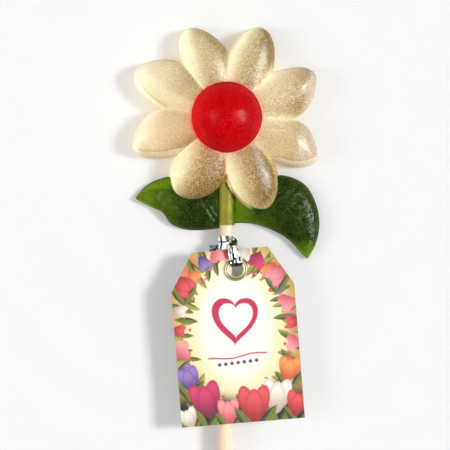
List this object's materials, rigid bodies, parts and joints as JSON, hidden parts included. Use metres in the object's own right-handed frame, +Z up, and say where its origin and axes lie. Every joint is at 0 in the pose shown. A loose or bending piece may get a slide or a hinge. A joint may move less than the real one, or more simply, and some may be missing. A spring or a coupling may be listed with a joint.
{
  "type": "flower lollipop",
  "caption": "Flat-backed hard-candy flower on a round wooden stick: cream petals round a red dome, a green stem with leaves, and a card tag held by a silver tie through a brass eyelet.",
  "frame": {"origin": "middle of the flower on its flat back, which lies on the surface", "axes": "+Y from the stick's end towards the flower, +Z up out of the flower's face, +X to the right as seen from above"},
  "size_m": [0.073, 0.1953, 0.0228],
  "materials": {
    "cream_candy": "pearly translucent hard candy with a fine grain, satin gloss",
    "red_candy": "translucent hard candy with a fine grain, satin gloss",
    "green_candy": "translucent hard candy, glossy and finely speckled",
    "stick_wood": "bare pale birch dowel",
    "tag_card": "coated card with a printed front, satin",
    "eyelet_brass": "polished pale brass",
    "tie_foil": "crinkled bright silver foil"
  },
  "bodies": {
    "root": {"petals": "cream_candy", "centre": "red_candy", "leaves": "green_candy", "stick": "stick_wood", "tag": "tag_card", "eyelet": "eyelet_brass", "tie": "tie_foil"}
  },
  "joints": []
}
